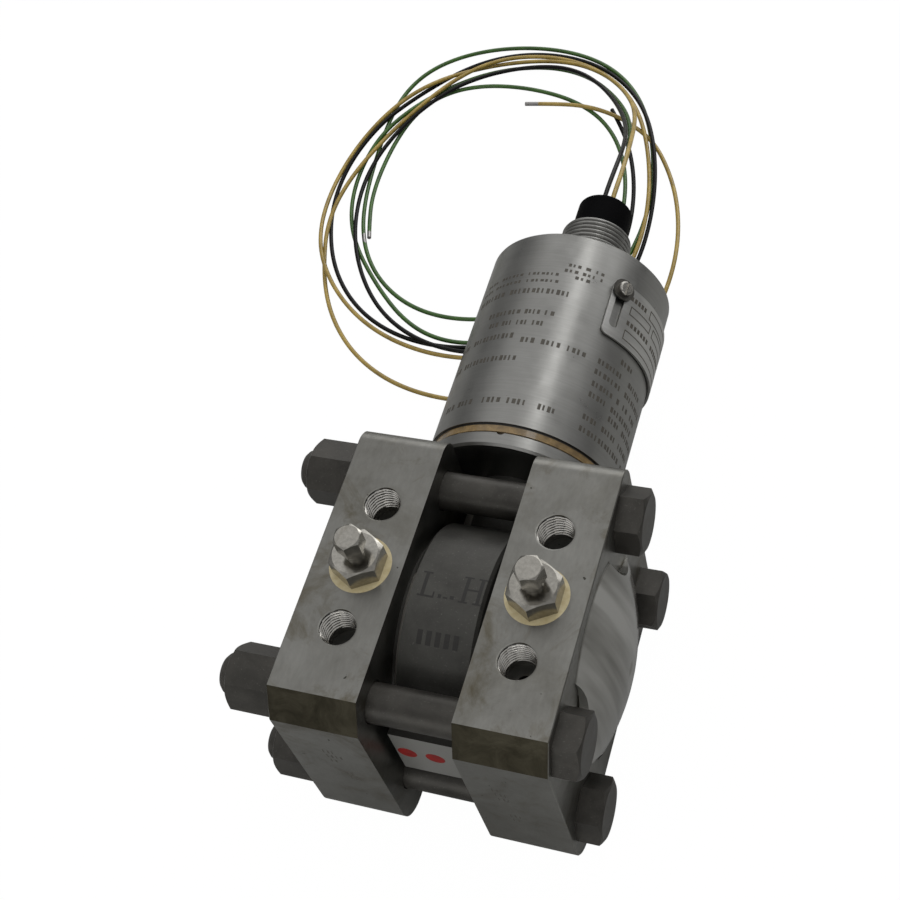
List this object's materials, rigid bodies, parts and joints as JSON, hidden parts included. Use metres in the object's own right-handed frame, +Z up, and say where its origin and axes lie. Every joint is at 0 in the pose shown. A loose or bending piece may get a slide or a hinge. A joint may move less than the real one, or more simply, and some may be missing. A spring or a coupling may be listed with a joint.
{
  "type": "pressure_transmitter",
  "caption": "Differential pressure transmitter lying on its back: ribless steel process flanges bolted round a cell, round steel electronics housing, conduit nipple and free wire leads.",
  "frame": {"origin": "under the middle of the whole instrument without its leads, on the surface it lies on", "axes": "+Y along the housing axis towards the conduit nipple, +Z up out of the process ports, +X towards the high pressure flange"},
  "size_m": [0.1927, 0.366, 0.1035],
  "materials": {
    "flange_steel": "milled stainless steel, lightly stained",
    "housing_steel": "turned and brushed stainless steel",
    "cell_dark": "dark grey matt coating",
    "bolt_dark": "dark grey matt coated steel",
    "valve_steel": "machined stainless steel",
    "sealant": "cream thread sealant",
    "amber_seal": "amber elastomer",
    "plug_black": "black moulded potting plug",
    "plug_red": "red soft plug",
    "tag_steel": "thin bare stainless plate",
    "screw_steel": "stainless steel screw",
    "o_ring": "black elastomer",
    "diaphragm_foil": "stainless foil",
    "board": "green circuit board",
    "inner_plastic": "black moulded plastic",
    "brass_inner": "turned brass",
    "lead_black": "black wire insulation",
    "lead_white": "white wire insulation",
    "lead_green": "green wire insulation"
  },
  "bodies": {
    "transmitter": {"flange_low": "flange_steel", "o_ring_low": "o_ring", "diaphragm_low": "diaphragm_foil", "vent_body_low": "valve_steel", "vent_seal_low": "sealant", "flange_high": "flange_steel", "o_ring_high": "o_ring", "diaphragm_high": "diaphragm_foil", "vent_body_high": "valve_steel", "vent_seal_high": "sealant", "bolt_lower_front": "bolt_dark", "nut_lower_front": "bolt_dark", "bolt_lower_back": "bolt_dark", "nut_lower_back": "bolt_dark", "bolt_upper_front": "bolt_dark", "nut_upper_front": "bolt_dark", "bolt_upper_back": "bolt_dark", "nut_upper_back": "bolt_dark", "cell_body": "cell_dark", "fill_plug_left": "plug_red", "fill_plug_right": "plug_red", "sensor_capsule": "housing_steel", "feedthrough": "brass_inner", "housing_base": "housing_steel", "seal_ring": "amber_seal", "housing_shell": "housing_steel", "conduit_nipple": "housing_steel", "cable_plug": "plug_black", "tag_screw_front": "screw_steel", "tag_screw_back": "screw_steel", "tag_washer_front": "screw_steel", "tag_washer_back": "screw_steel", "board_post_1": "brass_inner", "board_post_2": "brass_inner", "board_post_3": "brass_inner", "header_board": "board", "main_board": "board", "adjuster_block": "inner_plastic", "terminal_block": "inner_plastic", "lead_black": "lead_black", "lead_white": "lead_white", "lead_green": "lead_green"},
    "bleed_low": {"bleed_screw_low": "valve_steel"},
    "bleed_high": {"bleed_screw_high": "valve_steel"},
    "tag": {"tag_plate": "tag_steel"},
    "zero": {"zero_adjuster": "brass_inner"},
    "span": {"span_adjuster": "brass_inner"}
  },
  "joints": [
    {"name": "bleed_turn_low", "type": "hinge", "parent": "transmitter", "child": "bleed_low", "pos_m": [-0.02325, -0.0663, 0.09], "axis": [0, 0, 1], "range_deg": [0, 300]},
    {"name": "bleed_turn_high", "type": "hinge", "parent": "transmitter", "child": "bleed_high", "pos_m": [0.03415, -0.0663, 0.09], "axis": [0, 0, 1], "range_deg": [0, 300]},
    {"name": "tag_slide", "type": "slide", "parent": "transmitter", "child": "tag", "axis": [0, 1, 0], "range_m": [0, 0.013]},
    {"name": "zero_turn", "type": "hinge", "parent": "transmitter", "child": "zero", "pos_m": [0.02545, 0.0473, 0.054], "axis": [1, 0, 0], "range_deg": [-135, 135]},
    {"name": "span_turn", "type": "hinge", "parent": "transmitter", "child": "span", "pos_m": [0.02545, 0.0473, 0.038], "axis": [1, 0, 0], "range_deg": [-135, 135]}
  ]
}
